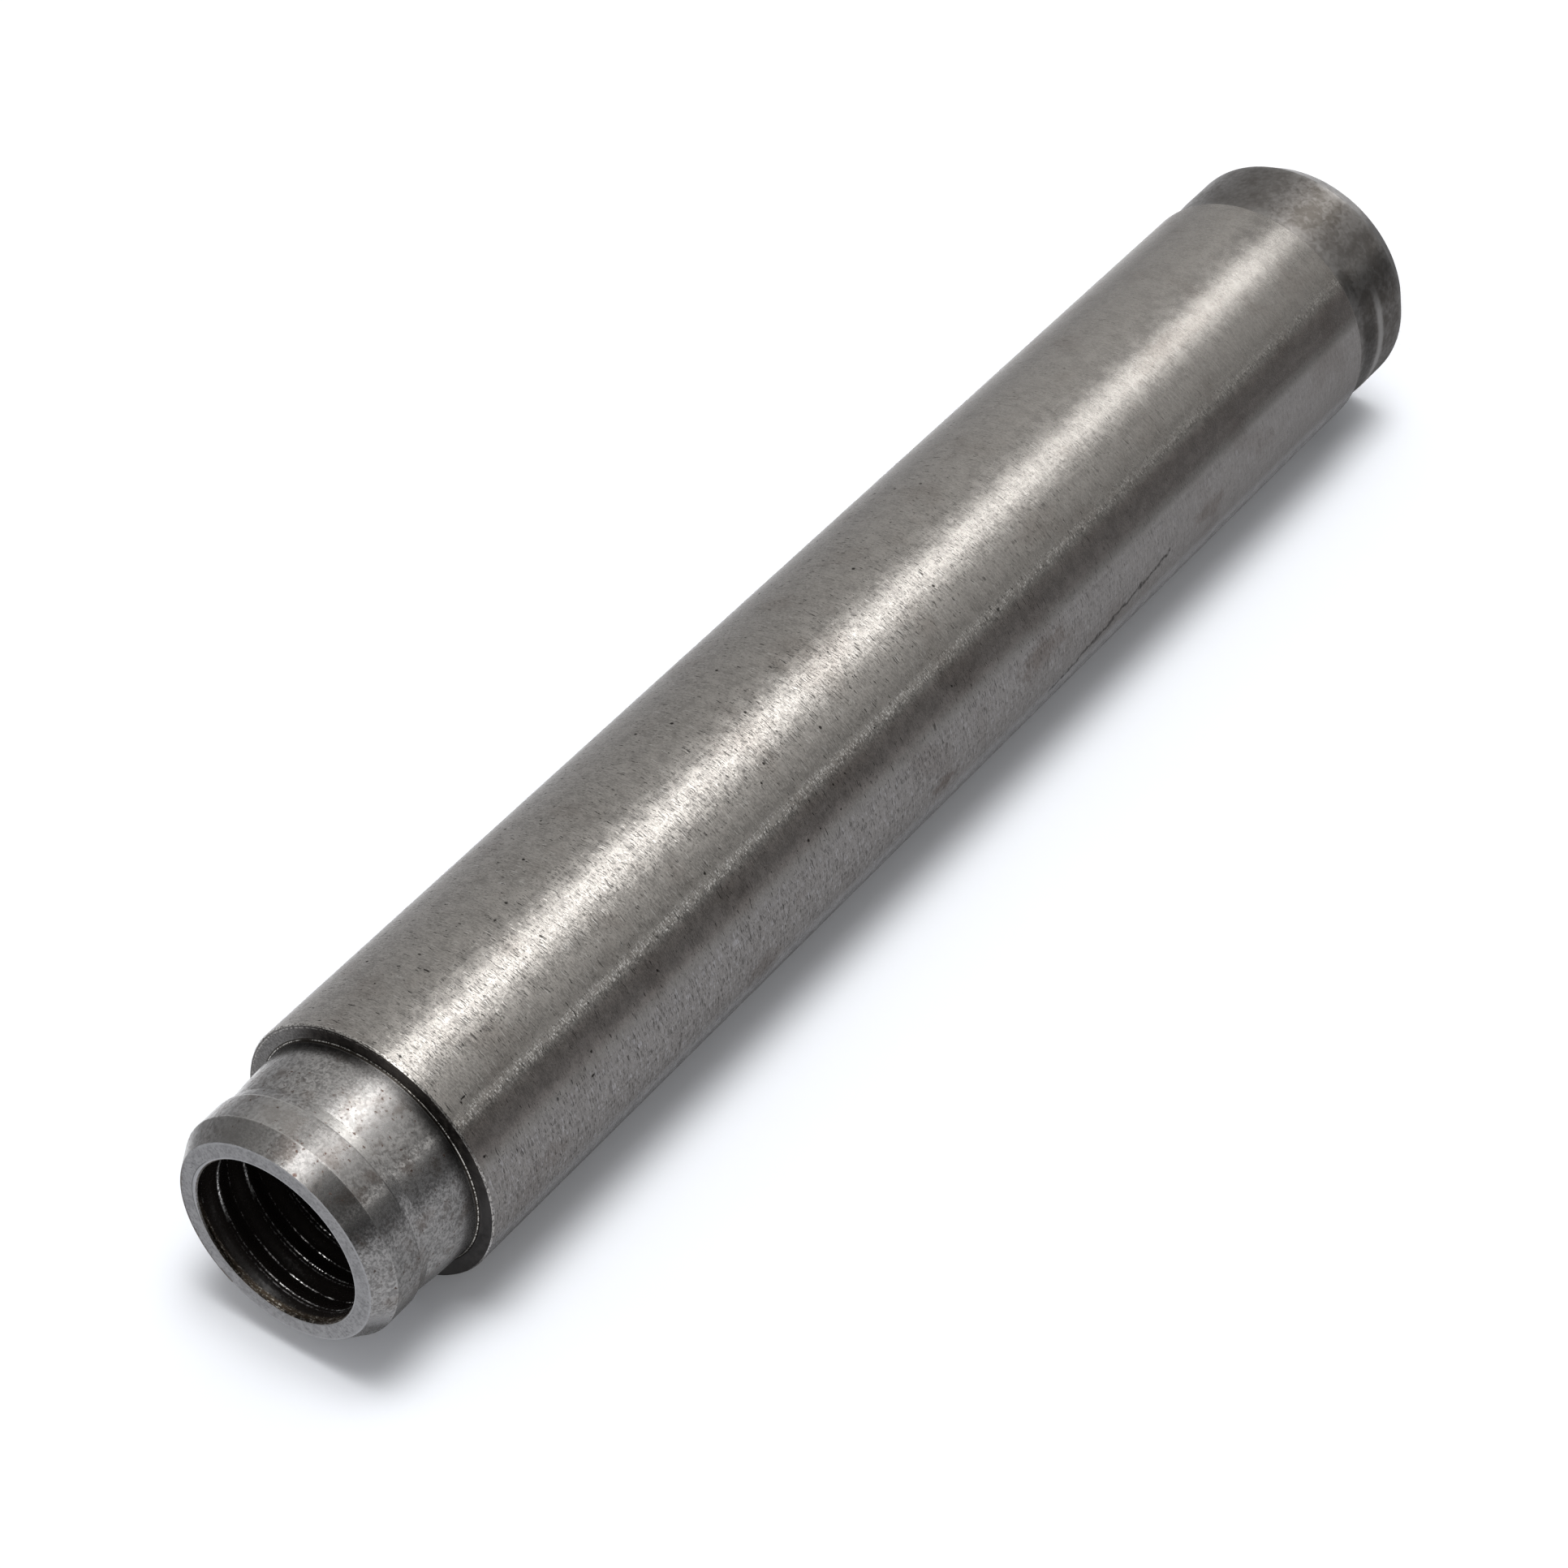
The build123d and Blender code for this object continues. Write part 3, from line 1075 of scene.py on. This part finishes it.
# Light tent: level by bearing, in degrees from the softbox, for light from above and from below
TENT_HIGH = [
    (-180, 0.78), (-147, 0.75), (-115, 0.5), (-96, 0.25), (-78, 0.17), (-50, 0.26),
    (-37, 0.3), (-22, 0.48), (-12, 1.3), (-2, 2.3), (8, 1.3), (16, 0.38),
    (24, 0.13), (56, 0.09), (61, 0.06), (63, 0.3), (65, 0.3), (67, 0.03),
    (78, 0.035), (88, 0.11), (97, 0.5), (104, 0.6), (143, 0.66), (165, 0.75),
]
TENT_LOW = [
    (-180, 0.36), (-160, 0.22), (-151, 0.46), (-142, 1.1), (-133, 1.55), (-122, 1.18),
    (-108, 0.8), (-98, 0.63), (-76, 0.47), (-40, 0.48), (-28, 0.55), (-20, 0.62),
    (-12, 1.02), (-5, 1.78), (3, 2.15), (11, 1.4), (19, 0.84), (27, 0.62),
    (40, 0.5), (52, 0.34), (58, 0.2), (60, 1.0), (62, 1.0), (65, 0.19),
    (72, 0.155), (84, 0.13), (92, 0.14), (99, 0.32), (106, 0.46), (130, 0.47),
    (170, 0.44),
]
COOL_TINT = (0.99, 0.995, 1.02)
WARM_TINT = (1.0, 0.985, 0.965)
WHITE = (1.0, 1.0, 1.0, 1.0)


def lit_from_round(b):
    """Colour of the light tent by direction, a little warmer round the softbox."""
    x, y, z = b.split(b.node("ShaderNodeTexCoord", output="Generated"))
    around = b.math("ARCTAN2", -x, -y) / math.tau + 0.5
    ramps = []
    for levels in (TENT_LOW, TENT_HIGH):
        stops = []
        for angle, level in levels:
            warm = max(0.0, min(1.0, (110 - abs(angle - 10)) / 40, (86 - angle) / 22))
            tint = [cool + (hot - cool) * warm for cool, hot in zip(COOL_TINT, WARM_TINT)]
            stops.append((angle / 360 + 0.5, shade(tint, level)))
        ramps.append(b.ramp(around, stops))
    return b.blend(b.ease(z, -0.12, 0.3), *ramps)


def light_tent():
    """World: white to the camera, the tent to the metal, and a softbox overhead to the paper."""
    world = bpy.data.worlds.new("light_tent")
    world.use_nodes = True
    b = Bench(world.node_tree)
    toward = b.node("ShaderNodeTexCoord", output="Generated")
    overhead = Vector((-0.054, -1.0, 0.0)).normalized()
    settings = {"operation": "DOT_PRODUCT"}
    height = b.node("ShaderNodeVectorMath", settings, {0: toward, 1: overhead}, "Value")
    softbox = b.ease(height, 0.933, 1.213, 0.47, 114.0)
    tent = b.node("ShaderNodeBackground", (), {"Color": lit_from_round(b), "Strength": 1.0})
    lamp = b.node("ShaderNodeBackground", (), {"Color": WHITE, "Strength": softbox})
    blank = b.node("ShaderNodeBackground", (), {"Color": WHITE, "Strength": 1.0})
    mirrored = b.node("ShaderNodeLightPath", output="Is Glossy Ray")
    seen = mirrored.other("Is Camera Ray")
    mixed = b.node("ShaderNodeMixShader", (), {0: mirrored, 1: lamp, 2: tent})
    mixed = b.node("ShaderNodeMixShader", (), {0: seen, 1: mixed, 2: blank})
    b.node("ShaderNodeOutputWorld", (), {"Surface": mixed})
    return world


def white_paint(b, colour, lift):
    """Matt white paint that keeps a shadow. lift is how bright it stays in one."""
    matt = b.node("ShaderNodeBsdfDiffuse", (), {"Color": (*colour, 1.0)})
    seen = b.node("ShaderNodeLightPath", output="Is Camera Ray")
    glow = b.node("ShaderNodeEmission", (), {"Color": WHITE, "Strength": seen * lift})
    return b.node("ShaderNodeAddShader", (), {0: matt, 1: glow})


def part_clear(b, cleared, first, second):
    """Ends the tree in first, going over to second where cleared is 1."""
    mixed = b.node("ShaderNodeMixShader", (), {0: cleared, 1: first, 2: second})
    b.node("ShaderNodeOutputMaterial", (), {"Surface": mixed})


def backdrop_paint(colour):
    """Paint of the backdrop, seen from its front alone."""
    material, b = new_material("backdrop_paint")
    behind = b.node("ShaderNodeNewGeometry", output="Backfacing")
    clear = b.node("ShaderNodeBsdfTransparent")
    part_clear(b, behind, white_paint(b, colour, 0.01), clear)
    return material


def floor_paint(colour):
    """Paint of the floor. It clears towards the backdrop, so that no line shows between the two."""
    material, b = new_material("floor_paint")
    _, y, _ = b.split(millimetres(b))
    clear = b.node("ShaderNodeBsdfTransparent")
    part_clear(b, b.ease(y, 0.5, 3.0), white_paint(b, shade(colour, 1.3), 0.7), clear)
    return material


def shaded_paper():
    """Paper that the guide keeps in its own shade: dark under the guide and clear beside it."""
    material, b = new_material("shaded_paper")
    x, _, _ = b.split(millimetres(b))
    clear = b.node("ShaderNodeBsdfTransparent")
    dark = b.node("ShaderNodeEmission", (), {"Color": (0.1, 0.1, 0.1, 1.0)})
    part_clear(b, b.between(x, -7.0, -4.0, -2.6, -1.2), clear, dark)
    return material


def upright(back, left, right, low, high):
    """Corners of an upright sheet that faces the front."""
    return [(left, back, low), (right, back, low), (right, back, high), (left, back, high)]


def sheet_of_paper(name, corners, material, mirrored=False):
    """A stage sheet. A mirrored one is seen in reflections alone, any other by the camera alone."""
    mesh = bpy.data.meshes.new(name)
    mesh.from_pydata(corners, [], [(0, 1, 2, 3)])
    mesh.materials.append(material)
    sheet = bpy.data.objects.new(name, mesh)
    bpy.context.scene.collection.objects.link(sheet)
    sheet.visible_camera = not mirrored
    sheet.visible_glossy = mirrored
    sheet.visible_diffuse = False
    sheet.visible_shadow = False


class GUIDE_OT_stage(bpy.types.Operator):
    """Set the floor, the backdrop, the light and the camera"""

    bl_idname = "guide.stage"
    bl_label = "Set Stage"

    def execute(self, context):
        scene = context.scene
        studio = scene.guide_studio
        colour = tuple(studio.backdrop_colour)
        far = 1.5
        floor = [(-far, -far, 0), (far, -far, 0), (far, far, 0), (-far, far, 0)]
        sheet_of_paper("floor", floor, floor_paint(colour))

        # The backdrop is the paper that the guide seems to lie on, so it touches the guide's back
        wall = upright(BODY_RADIUS, -far, far, -far, far)
        sheet_of_paper("backdrop", wall, backdrop_paint(colour))
        patch = upright(BODY_RADIUS - 0.1 * MM, -0.02, 0.01, -0.2, LENGTH)
        sheet_of_paper("paper_shade", patch, shaded_paper(), mirrored=True)

        scene.world = light_tent()
        lens = bpy.data.cameras.new("camera")
        lens.sensor_width = 36.0
        lens.lens = studio.lens
        lens.clip_start = 0.01
        lens.clip_end = 20.0
        camera = bpy.data.objects.new("camera", lens)
        scene.collection.objects.link(camera)
        camera.location = studio.camera_place
        camera.rotation_mode = "QUATERNION"
        camera.rotation_quaternion = Quaternion(studio.camera_turn)
        scene.camera = camera
        scene.view_settings.view_transform = "Standard"
        return {"FINISHED"}


class GUIDE_PT_bench(bpy.types.Panel):
    """Steps and sizes of the valve guide"""

    bl_label = "Valve Guide"
    bl_idname = "GUIDE_PT_bench"
    bl_space_type = "VIEW_3D"
    bl_region_type = "UI"
    bl_category = "Guide"

    def draw(self, context):
        layout = self.layout
        scene = context.scene
        for settings in (scene.guide_sizes, scene.guide_finish, scene.guide_studio):
            box = layout.box()
            for name in settings.__annotations__:
                box.prop(settings, name)
        for operator in OPERATORS:
            layout.operator(operator.bl_idname)


OPERATORS = (GUIDE_OT_turn, GUIDE_OT_stage)
CLASSES = (GuideSizes, GuideFinish, StudioSettings, *OPERATORS, GUIDE_PT_bench)


def register():
    for cls in CLASSES:
        bpy.utils.register_class(cls)
    bpy.types.Scene.guide_sizes = bpy.props.PointerProperty(type=GuideSizes)
    bpy.types.Scene.guide_finish = bpy.props.PointerProperty(type=GuideFinish)
    bpy.types.Scene.guide_studio = bpy.props.PointerProperty(type=StudioSettings)


def unregister():
    del bpy.types.Scene.guide_studio
    del bpy.types.Scene.guide_finish
    del bpy.types.Scene.guide_sizes
    for cls in reversed(CLASSES):
        bpy.utils.unregister_class(cls)


def main():
    register()
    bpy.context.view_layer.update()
    bpy.ops.guide.turn()
    bpy.ops.guide.stage()


if __name__ == "__main__":
    main()
